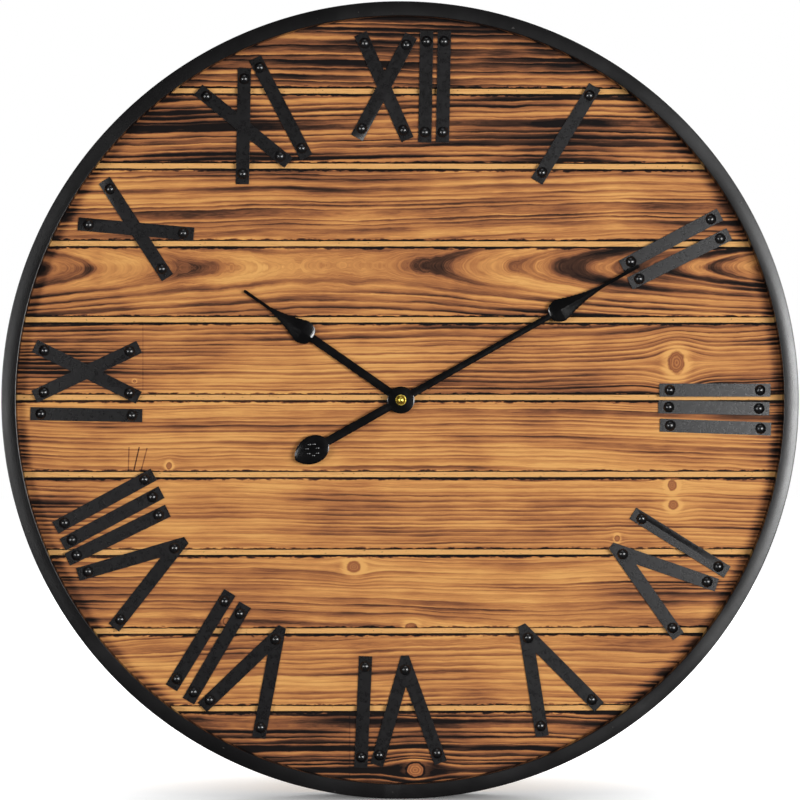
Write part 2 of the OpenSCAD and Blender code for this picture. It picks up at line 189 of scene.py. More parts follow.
def carve(obj, cutters):
    """Cuts (points, faces) solids out of obj."""
    helpers = []
    for verts, faces in cutters:
        mesh = bpy.data.meshes.new("cutter")
        mesh.from_pydata(verts, [], faces)
        clean(mesh)
        helper = placed("cutter", mesh)
        helpers.append(helper)
        cut = obj.modifiers.new("cut", "BOOLEAN")
        cut.operation, cut.solver, cut.object = "DIFFERENCE", "EXACT", helper
    bpy.context.view_layer.update()
    done = bpy.data.meshes.new_from_object(obj.evaluated_get(bpy.context.evaluated_depsgraph_get()))
    obj.modifiers.clear()
    obj.data = done
    for helper in helpers:
        bpy.data.objects.remove(helper)
    return obj


def finished(node, suffix, materials, bevel, segments=2, sharp=20):
    """A CAD node's own shape with its edges rounded. A second material goes on the rounded edges."""
    bm = bmesh.new()
    bm.from_mesh(NODES[node].data)
    bmesh.ops.remove_doubles(bm, verts=bm.verts, dist=1e-6)
    bmesh.ops.dissolve_limit(bm, angle_limit=math.radians(1), verts=bm.verts, edges=bm.edges)
    for face in bm.faces:
        face.material_index = 0
    edges = [e for e in bm.edges if e.is_manifold and e.calc_face_angle() > math.radians(35)]
    bmesh.ops.bevel(bm, geom=edges, offset=bevel, segments=segments, profile=0.5, affect="EDGES",
                    clamp_overlap=True, material=len(materials) - 1)
    bmesh.ops.recalc_face_normals(bm, faces=bm.faces)
    mesh = bpy.data.meshes.new(node + suffix)
    bm.to_mesh(mesh)
    bm.free()
    return stand_for(shaded(node + suffix, mesh, materials, sharp), node)


def loose_parts(node):
    """The lowest and highest corner of each separate solid in a CAD node."""
    bm = bmesh.new()
    bm.from_mesh(NODES[node].data)
    bmesh.ops.remove_doubles(bm, verts=bm.verts, dist=1e-6)
    seen, boxes = set(), []
    for first in bm.verts:
        if first in seen:
            continue
        seen.add(first)
        stack, points = [first], []
        while stack:
            vert = stack.pop()
            points.append(vert.co.copy())
            for edge in vert.link_edges:
                other = edge.other_vert(vert)
                if other not in seen:
                    seen.add(other)
                    stack.append(other)
        co = np.array(points)
        boxes.append((Vector(co.min(0)), Vector(co.max(0))))
    bm.free()
    return boxes


# ---- Materials ----

class Paint:
    """Builds one node material. Sockets and plain numbers can both be passed as inputs."""

    def __init__(self, name, **shader):
        self.material = bpy.data.materials.new(name)
        self.material.use_nodes = True
        self.tree = self.material.node_tree
        self.shader = self.tree.nodes["Principled BSDF"]
        for socket, value in shader.items():
            self.set(self.shader.inputs[socket.replace("_", " ")], value)

    def set(self, socket, value):
        if isinstance(value, bpy.types.NodeSocket):
            self.tree.links.new(value, socket)
        else:
            socket.default_value = value

    def node(self, kind, inputs=(), out=0, **settings):
        made = self.tree.nodes.new("ShaderNode" + kind)
        for key, value in settings.items():
            setattr(made, key, value)
        for key, value in dict(inputs).items():
            self.set(made.inputs[key], value)
        return made.outputs[out]

    def math(self, operation, a, b=0.0, clamp=False):
        return self.node("Math", {0: a, 1: b}, operation=operation, use_clamp=clamp)

    def times(self, a, b):
        return self.math("MULTIPLY", a, b)

    def plus(self, a, b, clamp=False):
        return self.math("ADD", a, b, clamp)

    def minus(self, a, b):
        return self.math("SUBTRACT", a, b)

    def blend(self, a, share_of_a, b, share_of_b):
        return self.plus(self.times(a, share_of_a), self.times(b, share_of_b))

    def ease(self, value, low, high, to_low=0.0, to_high=1.0):
        """A smooth step of value from low to high."""
        return self.node("MapRange", {0: value, 1: low, 2: high, 3: to_low, 4: to_high},
                         interpolation_type="SMOOTHSTEP")

    def vector(self, x, y, z):
        return self.node("CombineXYZ", {0: x, 1: y, 2: z})

    def split(self, vector):
        made = self.tree.nodes.new("ShaderNodeSeparateXYZ")
        self.set(made.inputs[0], vector)
        return made.outputs[0], made.outputs[1], made.outputs[2]

    def stretch(self, vector, x, y, z):
        return self.node("VectorMath", {0: vector, 1: (x, y, z)}, operation="MULTIPLY")

    def length(self, vector):
        return self.node("VectorMath", {0: vector}, out="Value", operation="LENGTH")

    def place(self):
        """Where the point is on the object, in metres."""
        return self.node("TexCoord", out="Object")

    def noise(self, vector, scale=1.0, detail=2.0, rough=0.5):
        return self.node("TexNoise", {"Vector": vector, "Scale": scale, "Detail": detail, "Roughness": rough},
                         out="Fac")

    def streaks(self, x, y, z, detail, rough):
        """Noise with this many cells a metre along each axis."""
        return self.noise(self.stretch(self.place(), x, y, z), 1, detail, rough)

    def ramp(self, value, *stops):
        made = self.tree.nodes.new("ShaderNodeValToRGB")
        self.set(made.inputs[0], value)
        elements = made.color_ramp.elements
        while len(elements) < len(stops):
            elements.new(0.5)
        for element, (at, colour) in zip(elements, stops):
            element.position, element.color = at, colour
        return made.outputs[0]

    def mix(self, share, a, b):
        made = self.tree.nodes.new("ShaderNodeMix")
        made.data_type = "RGBA"
        for index, value in ((0, share), (6, a), (7, b)):
            self.set(made.inputs[index], value)
        return made.outputs[2]

    def attribute(self, name):
        return self.node("Attribute", out="Vector", attribute_name=name)

    def bump(self, height, distance, strength=1.0):
        made = self.node("Bump", {"Height": height, "Distance": distance, "Strength": strength})
        self.set(self.shader.inputs["Normal"], made)

    def colour(self, value):
        self.set(self.shader.inputs["Base Color"], value)

    def roughness(self, value):
        self.set(self.shader.inputs["Roughness"], value)


def speckled(name, low, high, rough, grain, depth, scratches=0.0, **shader):
    """A finish that varies between two colours, with a fine surface grain and optional faint scratches."""
    p = Paint(name, **shader)
    place = p.place()
    cloud = p.noise(place, 28, 4, 0.6)
    fine = p.noise(place, grain, 3, 0.6)
    p.colour(p.ramp(p.blend(cloud, 0.7, fine, 0.3), (0.34, low), (0.66, high)))
    scuffs = p.streaks(900, 900, 60, 2, 0.7)
    p.roughness(p.ease(p.blend(cloud, 0.6, scuffs, 0.4), 0.3, 0.7, rough[0], rough[1]))
    p.bump(p.plus(fine, p.times(scuffs, scratches)), depth, 0.6)
    return p.material


# Pine, from bare wood to char, the tongue's raw wood and the boards' sawn backs
BURNT = [(0.0, rgb(238, 178, 104)), (0.14, rgb(222, 157, 90)), (0.34, rgb(190, 124, 73)),
         (0.54, rgb(142, 88, 57)), (0.74, rgb(78, 50, 36)), (1.0, rgb(20, 14, 13))]
RAW = [(0.3, rgb(202, 142, 84)), (0.5, rgb(243, 183, 112)), (0.7, rgb(253, 203, 136))]
SAWN_BACK = [(0.15, rgb(226, 190, 140)), (0.5, rgb(206, 162, 108)), (0.8, rgb(160, 112, 68))]
# The knots' red, the splinters' brown, and the seams' brown, which is painted shade in the gaps between
# boards
KNOT_RED, SPLINTER_BROWN, SEAM_SHADE_BROWN = rgb(158, 92, 58), rgb(92, 52, 30), rgb(58, 36, 22)

# Knots and small blemishes on the boards: x, z, half width and half height, in millimetres
KNOTS = [(265, 36, 7, 9.5), (261, -82, 4, 5), (262, -101, 4.5, 4), (10, -218, 5, 3.5), (14, -355, 8, 6.5),
         (-45, -160, 6, 5), (-167, -212, 3, 3), (208, -133, 2.2, 2.6), (-255, 18, 1.4, 1.2),
         (-222, -63, 2.5, 3)]
# Upright marks across the grain, finger joints and a spike knot: foot x, lowest and highest z in
# millimetres, lean and darkness
CROSS_MARKS = [(-247, 4, 76, 0.0, 0.1), (-49, -374, -297, 0.0, 0.1), (-261, -69, -45, 0.03, 0.3),
               (-256, -69, -45, 0.23, 0.6), (-249, -69, -46, 0.26, 0.34)]


def burnt_pine():
    """Torched and brushed pine. `grain` holds (x, growth ring, board), `burn` (char with a painted shadow of
    the ring next to it, contrast, mm to the front's edge, or IN_SEAM) and `part` (front face, raw tongue,
    back)."""
    p = Paint("burnt_pine", Specular_IOR_Level=0.12)
    along, ring, board = p.split(p.attribute("grain"))
    # The char part also holds a painted shadow of the ring, mixed in with the real char
    char, contrast, edge = p.split(p.attribute("burn"))
    face, raw, back = p.split(p.attribute("part"))
    place = p.place()

    def along_the_grain(along_rate, ring_rate, board_rate, detail, rough, ring=ring):
        """Noise drawn out along x, with its own pattern on each growth ring and board."""
        at = p.vector(p.times(along, along_rate), p.times(ring, ring_rate), p.times(board, board_rate))
        return p.noise(at, 1, detail, rough)

    ragged = along_the_grain(30, 0.9, 7.3, 4, 0.6)
    ring = p.plus(ring, p.times(p.minus(ragged, 0.5), 0.62))
    spread = p.noise(p.vector(0.0, p.times(ring, 0.33), p.times(board, 5.7)), 1, 2, 0.5)
    ring = p.plus(ring, p.times(spread, 3.2))
    count = p.math("FLOOR", ring)
    part_way = p.minus(ring, count)
    strength = p.ease(along_the_grain(6, 3.7, 13.1, 3, 0.6, count), 0.3, 0.68)
    width = along_the_grain(2.5, 5.1, 3.9, 1, 0.5, count)
    late = p.math("POWER", part_way, p.ease(width, 0.3, 0.7, 0.6, 2.2))
    late = p.times(late, p.ease(part_way, 1.0, 0.7))
    group = p.ease(along_the_grain(2.6, 0.24, 29.3, 3, 0.55, ring), 0.32, 0.66)
    band = p.ease(along_the_grain(4.2, 0.75, 17.9, 3, 0.6, ring), 0.4, 0.68)
    fibre = p.noise(p.vector(p.times(along, 22), p.times(ring, 11), board), 1, 4, 0.7)
    hair = p.noise(p.vector(p.times(along, 70), p.times(ring, 38), board), 1, 2, 0.6)
    smoke = p.streaks(5, 5, 34, 4, 0.6)
    blotch = p.ease(p.streaks(9, 9, 16, 3, 0.6), 0.36, 0.7)

    # How dark the torch has left each point, with the painted shadow of the ring carried in by the char
    force = p.plus(0.16, p.times(p.times(strength, p.plus(group, 0.45)), 0.5))
    dark = p.times(p.times(late, contrast), force)
    cover = p.plus(0.35, p.times(late, 0.65))
    sooted_and_shaded = p.times(p.times(char, cover), p.ease(smoke, 0.3, 0.66, 0.35, 1.15))
    dark = p.plus(dark, sooted_and_shaded)
    for bands, amount in ((group, 0.12), (band, 0.3)):
        dark = p.plus(dark, p.times(p.times(bands, contrast), amount))
    dark = p.minus(dark, p.times(contrast, 0.06))
    for specks, middle, amount in ((fibre, 0.5, 0.62), (hair, 0.5, 0.42), (blotch, 0.35, 0.2)):
        dark = p.plus(dark, p.times(p.minus(specks, middle), amount))

    # Knots: a reddish core with its own rings, a dark bark line and a lighter halo
    nearest = 9.0
    for x, z, wide, high in KNOTS:
        offset = p.node("VectorMath", {0: place, 1: (x * MM, 0, z * MM)}, operation="SUBTRACT")
        scaled = p.stretch(offset, 1 / (wide * MM), 0, 1 / (high * MM))
        nearest = p.math("MINIMUM", nearest, p.length(scaled))
    nearest = p.plus(nearest, p.times(p.minus(p.noise(place, 260, 2), 0.5), 0.35))
    knot = p.ease(nearest, 1.05, 0.92)
    bark = p.times(p.ease(nearest, 0.8, 1.0), p.ease(nearest, 1.35, 1.05))
    halo = p.times(p.ease(nearest, 2.6, 1.2), 0.3)
    knot_rings = p.times(p.math("SINE", p.times(nearest, 19)), 0.16)
    dark = p.minus(dark, halo)
    dark = p.plus(p.times(dark, p.minus(1, knot)), p.times(knot, p.plus(0.38, knot_rings)))
    dark = p.plus(dark, p.times(bark, 0.4))

    # Marks across the grain
    x_here, _, z_here = p.split(place)
    for x, low, high, lean, amount in CROSS_MARKS:
        line_x = p.plus(x * MM, p.times(p.minus(z_here, low * MM), lean))
        line = p.ease(p.math("ABSOLUTE", p.minus(x_here, line_x)), 0.9 * MM, 0.2 * MM)
        inside = p.times(p.math("GREATER_THAN", z_here, low * MM), p.math("LESS_THAN", z_here, high * MM))
        dark = p.plus(dark, p.times(p.times(line, inside), amount))

    # The front's arrises are darkened, more here and less there: partly char, partly painted shade along the
    # seams
    nibble = p.streaks(90, 90, 260, 3, 0.6)
    reach = p.ease(nibble, 0.3, 0.72, 0.5, 3.0)
    arris = p.times(p.ease(p.math("DIVIDE", edge, reach), 1.25, 0.35), face)
    dark = p.plus(dark, p.times(arris, 0.75), clamp=True)

    # The burnt face, the raw tongue with a few splinters, and the sawn back with painted shade in its seams
    burnt = p.mix(p.times(knot, 0.4), p.ramp(dark, *BURNT), KNOT_RED)
    pale = p.ramp(p.blend(fibre, 0.6, hair, 0.4), *RAW)
    splinter = p.ease(p.streaks(300, 0, 620, 2, 0.5), 0.66, 0.7)
    pale = p.mix(p.times(splinter, 0.75), pale, SPLINTER_BROWN)
    sawn = p.ramp(p.blend(late, 0.5, fibre, 0.5), *SAWN_BACK)
    sawn = p.mix(p.times(p.ease(edge, -1, -8), 0.85), sawn, SEAM_SHADE_BROWN)
    p.colour(p.mix(back, p.mix(raw, burnt, pale), sawn))
    p.roughness(p.ease(p.plus(dark, p.times(fibre, 0.3)), 0.0, 1.1, 0.46, 0.68))
    relief = p.minus(p.blend(fibre, 0.5, hair, 0.35), p.times(dark, 0.55))
    p.bump(relief, 0.35 * MM, 0.7)
    return p.material


def plain_pine():
    """Planed pine with straight grain along Z."""
    p = Paint("plain_pine", Specular_IOR_Level=0.3)
    place = p.place()
    sway = p.streaks(12, 12, 2.2, 2, 0.5)
    x, y, _ = p.split(place)
    lines = p.plus(p.times(x, 260), p.blend(y, 150, sway, 14))
    band = p.math("FRACT", lines)
    late = p.times(p.math("POWER", band, 2.6), p.ease(band, 1.0, 0.88))
    fibre = p.streaks(1500, 1500, 24, 3, 0.65)
    tone = p.blend(late, 0.55, fibre, 0.45)
    p.colour(p.ramp(tone, (0.12, rgb(230, 196, 148)), (0.45, rgb(212, 170, 116)), (0.85, rgb(166, 116, 70))))
    p.roughness(p.ease(fibre, 0.2, 0.8, 0.55, 0.72))
    p.bump(p.minus(fibre, late), 0.2 * MM, 0.5)
    return p.material


def powder_coat():
    """Satin black coat on rolled steel, with a dressed weld at the bottom and a few knocks."""
    p = Paint("powder_coat", Specular_IOR_Level=0.5)
    place = p.place()
    x, _, z = p.split(place)
    cloud = p.noise(place, 14, 4, 0.6)
    peel = p.noise(place, 900, 2, 0.5)
    rub = p.streaks(30, 220, 30, 4, 0.65)
    chips = p.ease(p.noise(place, 210, 2, 0.4), 0.735, 0.765)
    from_weld = p.math("ABSOLUTE", p.plus(x, 9 * MM))
    weld = p.times(p.ease(from_weld, 10 * MM, 5 * MM), p.math("LESS_THAN", z, 0.0))
    tone = p.blend(cloud, 0.6, rub, 0.4)
    base = p.ramp(tone, (0.35, rgb(7, 6, 7)), (0.65, rgb(14, 13, 14)))
    base = p.mix(p.times(weld, 0.6), base, rgb(12, 11, 12))
    p.colour(p.mix(p.times(chips, 0.35), base, rgb(104, 100, 98)))
    p.roughness(p.plus(p.ease(cloud, 0.3, 0.7, 0.21, 0.27), p.times(weld, 0.04)))
    p.bump(p.plus(p.plus(peel, p.times(rub, 1.2)), p.times(weld, 1.5)), 0.05 * MM, 0.45)
    return p.material


def strap_paint():
    """Matt black paint brushed on flat bar."""
    p = Paint("strap_paint", Specular_IOR_Level=0.35)
    place = p.place()
    cloud = p.noise(place, 36, 4, 0.6)
    fine = p.noise(place, 1400, 2, 0.6)
    marks = p.streaks(240, 240, 240, 4, 0.7)
    p.colour(p.ramp(p.blend(cloud, 0.6, marks, 0.4),
                    (0.34, rgb(11, 10, 11)), (0.66, rgb(19, 17, 19))))
    p.roughness(p.ease(marks, 0.3, 0.7, 0.25, 0.34))
    p.bump(p.plus(fine, p.times(marks, 1.5)), 0.06 * MM, 0.5)
    return p.material


def worn_edge():
    """The bar's arrises, where the paint is thin and rubbed."""
    p = Paint("worn_edge", Specular_IOR_Level=0.5)
    place = p.place()
    rub = p.noise(place, 160, 4, 0.7)
    p.colour(p.ramp(rub, (0.4, rgb(26, 24, 26)), (0.62, rgb(48, 44, 45)), (0.74, rgb(84, 78, 74))))
    p.roughness(p.ease(rub, 0.3, 0.7, 0.5, 0.34))
    p.bump(rub, 0.05 * MM, 0.5)
    return p.material


def hand_lacquer():
    """Gloss black lacquer on the hands."""
    p = Paint("hand_lacquer", Specular_IOR_Level=0.4, Coat_Weight=0.35, Coat_Roughness=0.08)
    place = p.place()
    cloud = p.noise(place, 60, 3, 0.6)
    dust = p.noise(place, 1800, 2, 0.6)
    p.colour(p.ramp(cloud, (0.35, rgb(3, 3, 4)), (0.65, rgb(8, 7, 8))))
    p.roughness(p.ease(cloud, 0.3, 0.7, 0.12, 0.18))
    p.bump(p.plus(dust, p.times(cloud, 2)), 0.03 * MM, 0.35)
    return p.material


def brass():
    """Turned brass with fine tool marks round the axis."""
    p = Paint("brass", Metallic=1.0)
    place = p.place()
    radius = p.length(p.stretch(place, 1, 0, 1))
    lathe_marks = p.math("SINE", p.times(radius, 52000))
    cloud = p.noise(place, 240, 3, 0.6)
    p.colour(p.ramp(cloud, (0.35, rgb(214, 180, 70)), (0.65, rgb(244, 220, 104))))
    p.roughness(p.ease(cloud, 0.3, 0.7, 0.24, 0.34))
    p.bump(p.plus(p.times(lathe_marks, 0.3), cloud), 0.015 * MM, 0.4)
    return p.material


def winding():
    """Enamelled wire wound round the coil along X."""
    p = Paint("winding", Specular_IOR_Level=0.6, Coat_Weight=0.6, Coat_Roughness=0.1)
    place = p.place()
    x, _, z = p.split(place)
    turns = p.math("SINE", p.times(p.plus(x, p.times(z, 0.01)), 31000))
    cloud = p.noise(place, 600, 3, 0.6)
    p.colour(p.ramp(p.plus(p.times(turns, 0.25), cloud),
                    (0.25, rgb(92, 34, 14)), (0.55, rgb(172, 82, 38)), (0.8, rgb(214, 122, 66))))
    p.roughness(p.ease(cloud, 0.3, 0.7, 0.25, 0.4))
    p.bump(turns, 0.03 * MM, 0.8)
    return p.material


def laminate():
    """Green circuit laminate with copper tracks under the mask and a few solder pads."""
    p = Paint("laminate", Specular_IOR_Level=0.5, Coat_Weight=0.3, Coat_Roughness=0.2)
    place = p.place()
    cells = p.node("TexVoronoi", {"Vector": p.stretch(place, 620, 0, 380), "Scale": 1.0}, out="Color",
                   distance="CHEBYCHEV")
    tracks = p.math("GREATER_THAN", p.split(cells)[0], 0.55)
    pads = p.node("TexVoronoi", {"Vector": p.stretch(place, 420, 0, 420), "Scale": 1.0}, out="Distance")
    pad = p.ease(pads, 0.2, 0.14)
    weave = p.streaks(2600, 2600, 2600, 2, 0.5)
    tone = p.blend(tracks, 0.5, weave, 0.5)
    mask = p.ramp(tone, (0.2, rgb(24, 78, 44)), (0.8, rgb(52, 124, 66)))
    p.colour(p.mix(pad, mask, rgb(186, 188, 184)))
    p.roughness(p.ease(weave, 0.3, 0.7, 0.34, 0.5))
    p.bump(p.plus(tracks, p.times(pad, 2)), 0.05 * MM, 0.5)
    return p.material


MATERIALS = {
    "black_steel": powder_coat(),
    "burnt_pine": burnt_pine(),
    "numeral_steel": strap_paint(),
    "plain_pine": plain_pine(),
    "black_nail": speckled("nail_enamel", rgb(8, 8, 9), rgb(18, 18, 20), (0.22, 0.32), 700, 0.03 * MM, 0.4,
                           Specular_IOR_Level=0.6, Coat_Weight=0.4, Coat_Roughness=0.16),
    "zinc_steel": speckled("zinc_plate", rgb(150, 152, 156), rgb(196, 198, 202), (0.26, 0.42), 1600,
                           0.03 * MM, 1.0, Metallic=1.0),
    "movement_plastic": speckled("moulded_black", rgb(26, 26, 28), rgb(38, 38, 40), (0.48, 0.62), 2600,
                                 0.08 * MM, 0.2),
    "washer_rubber": speckled("rubber", rgb(34, 34, 35), rgb(48, 48, 49), (0.7, 0.85), 1200, 0.08 * MM),
    "brass": brass(),
    "circuit_board": laminate(),
    "copper_winding": winding(),
    "magnet_steel": speckled("stamped_steel", rgb(120, 122, 126), rgb(158, 160, 164), (0.34, 0.5), 1500,
                             0.04 * MM, 1.0, Metallic=1.0),
    "battery_wrap": speckled("battery_wrap", rgb(70, 76, 84), rgb(86, 93, 102), (0.28, 0.36), 800, 0.02 * MM,
                             0.3, Coat_Weight=0.3, Coat_Roughness=0.15),
    "gear_plastic": speckled("acetal", rgb(216, 210, 192), rgb(234, 229, 214), (0.38, 0.5), 1800, 0.03 * MM,
                             Subsurface_Weight=0.15, Subsurface_Scale=0.001),
    "hand_black": hand_lacquer(),
}
WORN = worn_edge()


# ---- Ring ----

def make_ring():
    """The rolled ring: an outer wall, a flat front and an inner return, of thin sheet with rounded bends."""
    lip = RING_R - 14 * MM
    sheet = 1.5 * MM
    section = [(RING_R, 0), (RING_R, RING_FRONT), (lip, RING_FRONT), (lip, FACE), (lip + sheet, FACE),
               (lip + sheet, RING_FRONT - sheet), (RING_R - sheet, RING_FRONT - sheet), (RING_R - sheet, 0)]
    bends = [0.3, 1.0, 0.9, 0.3, 0.3, 0.4, 0.4, 0.3]
    steps = 4
    profile = []
    for index, radius in enumerate(bends):
        profile += rounded(section, radius * MM, steps)[index * (steps + 1):(index + 1) * (steps + 1)]
    verts, faces = turned(profile, 400, closed=True)
    ring = object_of("ring_coated", verts, faces, MATERIALS["black_steel"], 40)
    stand_for(ring, "ring")


# ---- Boards ----

# Half the gap between boards at the back, the tongue and groove, the part of the front lip cut away to
# show the tongue, and the bevels
BUTT = 0.15 * MM
TONGUE = 6.2 * MM
GROOVE = 6.5 * MM
LIP = 2.5 * MM
BEVEL = 0.8 * MM
BACK_BEVEL = 1.0 * MM
# The distance to the edge that marks the faces inside a seam on the back, painted dark as shade, and the
# sections along a board
IN_SEAM = -9
STATIONS = 300

# How each board was sawn, from the top one down. The pith line lies `pith` above the board's middle
# and `under` behind its face, rising by `rise` per metre, swaying by `sway` and coming nearer by
# `taper` towards the right end, and 0.7 of it towards the left, all in millimetres. `ring` is the growth
# rings' spacing, `contrast` how strongly they took the torch, and `char` the soot.
Sawn = namedtuple("Sawn", "pith under rise sway taper ring contrast char")
SAWN = [
    Sawn(-84, 34, 12, 3.5, 0, 6.0, 1.20, 0.60),
    Sawn(74, 30, 26, 3.5, 0, 5.6, 1.35, 0.40),
    Sawn(-58, 30, -26, 3.5, 0, 5.0, 1.15, 0.30),
    Sawn(14, 44, -16, 2.5, 22, 4.2, 1.0, 0.42),
    Sawn(62, 44, 24, 3.5, 0, 3.6, 0.90, 0.44),
    Sawn(-58, 40, 14, 3.0, 0, 3.4, 0.70, 0.26),
    Sawn(60, 44, -16, 2.5, 0, 3.4, 0.66, 0.30),
    Sawn(-50, 38, 14, 3.5, 0, 3.8, 0.68, 0.32),
    Sawn(58, 36, 16, 4, 0, 4.6, 0.78, 0.18),
    Sawn(66, 32, -18, 3.5, 0, 5.0, 1.35, 0.85),
]
# Where the torch lingered: x, z, half length, half height in millimetres, and how much darker
SCORCHED = [
    (-245, 124, 62, 8, 0.3), (-140, 128, 60, 7, 0.14), (316, 128, 30, 11, 0.5),
    (285, 182, 62, 20, 0.24), (-190, 262, 95, 26, 0.26), (205, 252, 75, 22, 0.22),
    (0, 322, 190, 12, 0.3), (-150, 345, 60, 8, 0.2), (-310, 66, 62, 8, 0.4),
    (-320, 30, 40, 16, 0.25), (-325, -108, 42, 28, 0.3), (316, -112, 36, 20, 0.3),
    (255, -176, 46, 22, 0.18), (-200, -240, 80, 9, 0.3), (225, -252, 75, 22, 0.22),
    (-105, -322, 70, 15, 0.34), (110, -318, 60, 13, 0.34), (-290, -180, 50, 18, 0.22),
    (90, -20, 60, 12, 0.12), (0, 232, 300, 5, 0.2),
]


def waves(rng, longest, shortest, count=5):
    """A smooth random wander along x, of size 1."""
    lengths = np.geomspace(longest, shortest, count)
    phases = rng.uniform(0, TAU, count)
    sizes = (lengths / longest) ** 0.9

    def at(x):
        return sum(s * np.sin(TAU * x / l + f) for s, l, f in zip(sizes, lengths, phases)) / sizes.sum()
    return at


def board_profile(low, high, first, last):
    """Section points as (z, depth, face, raw, back, mm to the front's edge), round the board."""
    third = (FACE - FACE_BACK) / 3
    g0, g1 = FACE_BACK + third, FACE - third
    slack = 0.1 * MM
    bottom = low + LIP if not last else low
    top = high - LIP if not first else high
    points = []

    def add(z, depth, face=0.0, raw=0.0, back=0.0, edge=0.0):
        points.append((z, depth, face, raw, back, edge))

    if last:
        add(low, FACE_BACK, back=1)
    else:
        add(low + BUTT + BACK_BEVEL, FACE_BACK, back=1)
        add(low + BUTT, FACE_BACK + BACK_BEVEL, back=1, edge=IN_SEAM)
        add(low + BUTT, g0, back=1, edge=IN_SEAM)
        add(low + GROOVE, g0, raw=1)
        add(low + GROOVE, g1, raw=1)
        add(bottom + 0.5 * MM, g1, face=1)
        add(bottom, g1, face=1)
        add(bottom, FACE - BEVEL, face=1)
        add(bottom + 0.3 * BEVEL, FACE - 0.3 * BEVEL, face=1, edge=0.2)
    inset = [0.8, 1.2, 1.7, 2.3, 3.0, 4.0, 5.2]
    front = [bottom + i * MM for i in inset] if not last else [bottom, bottom + 2 * MM, bottom + 4 * MM]
    tail = [top - i * MM for i in reversed(inset)] if not first else [top - 4 * MM, top - 2 * MM, top]
    count = max(2, round((tail[0] - front[-1]) / (1.4 * MM)))
    middle = [front[-1] + (tail[0] - front[-1]) * k / count for k in range(1, count)]
    for z in front + middle + tail:
        to_low = (z - bottom) / MM if not last else 99
        to_high = (top - z) / MM if not first else 99
        add(z, FACE, face=1, edge=min(to_low, to_high, 12))
    if first:
        add(high, FACE_BACK, back=1)
    else:
        add(top - 0.3 * BEVEL, FACE - 0.3 * BEVEL, face=1, edge=0.2)
        add(top, FACE - BEVEL, face=1)
        add(top, g1 - slack + 0.2 * MM, face=1)
        add(top, g1 - slack, raw=1)
        for share in (0.25, 0.5, 0.75):
            add(top + (high + TONGUE - top) * share, g1 - slack, raw=1)
        add(high + TONGUE - 0.3 * MM, g1 - slack, raw=1)
        add(high + TONGUE, g1 - slack - 0.3 * MM, raw=1)
        add(high + TONGUE, g0 + slack, raw=1)
        add(high - BUTT, g0 + slack, back=1, edge=IN_SEAM)
        add(high - BUTT, FACE_BACK + BACK_BEVEL, back=1, edge=IN_SEAM)
        add(high - BUTT - BACK_BEVEL, FACE_BACK, back=1)
    for k in range(1, 8):
        add(points[-1][0] + (points[0][0] - points[-1][0]) / (9 - k), FACE_BACK, back=1)
    return np.array(points)


def split_arrises(x, z, profile, middle, rng):
    """Rubs and splits the front arrises by moving z. Wood is only taken away, never added."""
    z0, depth, to_edge = profile[:, 0], profile[:, 1], profile[:, 5]
    on_face = profile[:, 2] > 0
    nibble = [waves(rng, 0.11, 0.006, 9) for _ in range(2)]
    splits = rng.uniform(-0.36, 0.36, (2, 5))
    for side, wander in zip((-1, 1), nibble):
        bite = np.maximum(0, wander(x) * 1.4) * 0.9 * MM
        for centre in splits[(side + 1) // 2]:
            bite += 1.1 * MM * np.exp(-((x - centre) / (2.2 * MM)) ** 2)
        bite = np.minimum(bite, 1.6 * MM)
        here = on_face & (np.sign(z0 - middle) == side)
        arris = here & (to_edge < 0.5) & (depth > FACE - 3.3 * MM)
        z[:, arris] -= side * bite[:, arris]
        near = here & (to_edge >= 0.5) & (to_edge < 2)
        z[:, near] -= side * bite[:, near] * (1 - to_edge[near] / 2)[None, :]


def growth_ring(x, z, depth, low, high, how, sway, lift, drift):
    """The growth ring at each point. Knots push the rings aside."""
    local = z - (low + high) / 2
    bent = local.copy()
    for kx, kz, wide, tall in KNOTS:
        if low < kz * MM < high:
            beside, above = (x - kx * MM) / (wide * MM), (z - kz * MM) / (tall * MM)
            bent -= 1.1 * tall * MM * np.tanh(above / 0.9) * np.exp(-(beside / 3.2) ** 2 - (above / 3.5) ** 2)
    across = bent - how.pith * MM - how.sway * MM * (sway(x) + 0.12 * drift(x + 3 * local))
    to_ends = np.clip((x - 0.02) / 0.34, 0, 1.2) ** 1.3 + 0.7 * np.clip((-x - 0.10) / 0.24, 0, 1.2) ** 1.3
    under = (how.under + how.rise * x + 0.7 * how.sway * lift(x) - how.taper * to_ends) * MM
    return np.hypot(across, under + (FACE - depth)[None, :]) / (how.ring * MM) + 20


def soot_and_shade_on(x, z, low, high, how, cloud, drift):
    """How dark each point is: sootier near the ring of the clock and where the torch lingered, plus a painted
    shadow of the ring at its edge that is partly char on the boards' ends.
    """
    radius = np.hypot(x, z)
    rim = np.clip((radius / DISC_R - 0.84) / 0.16, 0, 1)
    # A painted shadow of the ring on the wood next to it, partly char on the boards' ends
    ring_shadow_from, ring_shadow_over = 355 * MM, 10 * MM
    ring_shadow_and_char = np.clip((radius - ring_shadow_from) / ring_shadow_over, 0, 1) ** 1.4
    soot_and_shade = how.char * (1 + 0.7 * cloud(x)) + 0.75 * ring_shadow_and_char
    soot_and_shade += 0.3 * rim ** 1.5 * (0.7 + 0.6 * cloud(x + 0.3))
    for sx, sz, wide, tall, amount in SCORCHED:
        if low < sz * MM < high:
            beside = (x - sx * MM) / (wide * MM)
            above = (z - sz * MM - 3 * MM * drift(x)) / (tall * MM)
            soot_and_shade += amount * np.exp(-0.7 * (beside ** 2 + above ** 2) ** 2)
    return np.clip(soot_and_shade, 0, 1)


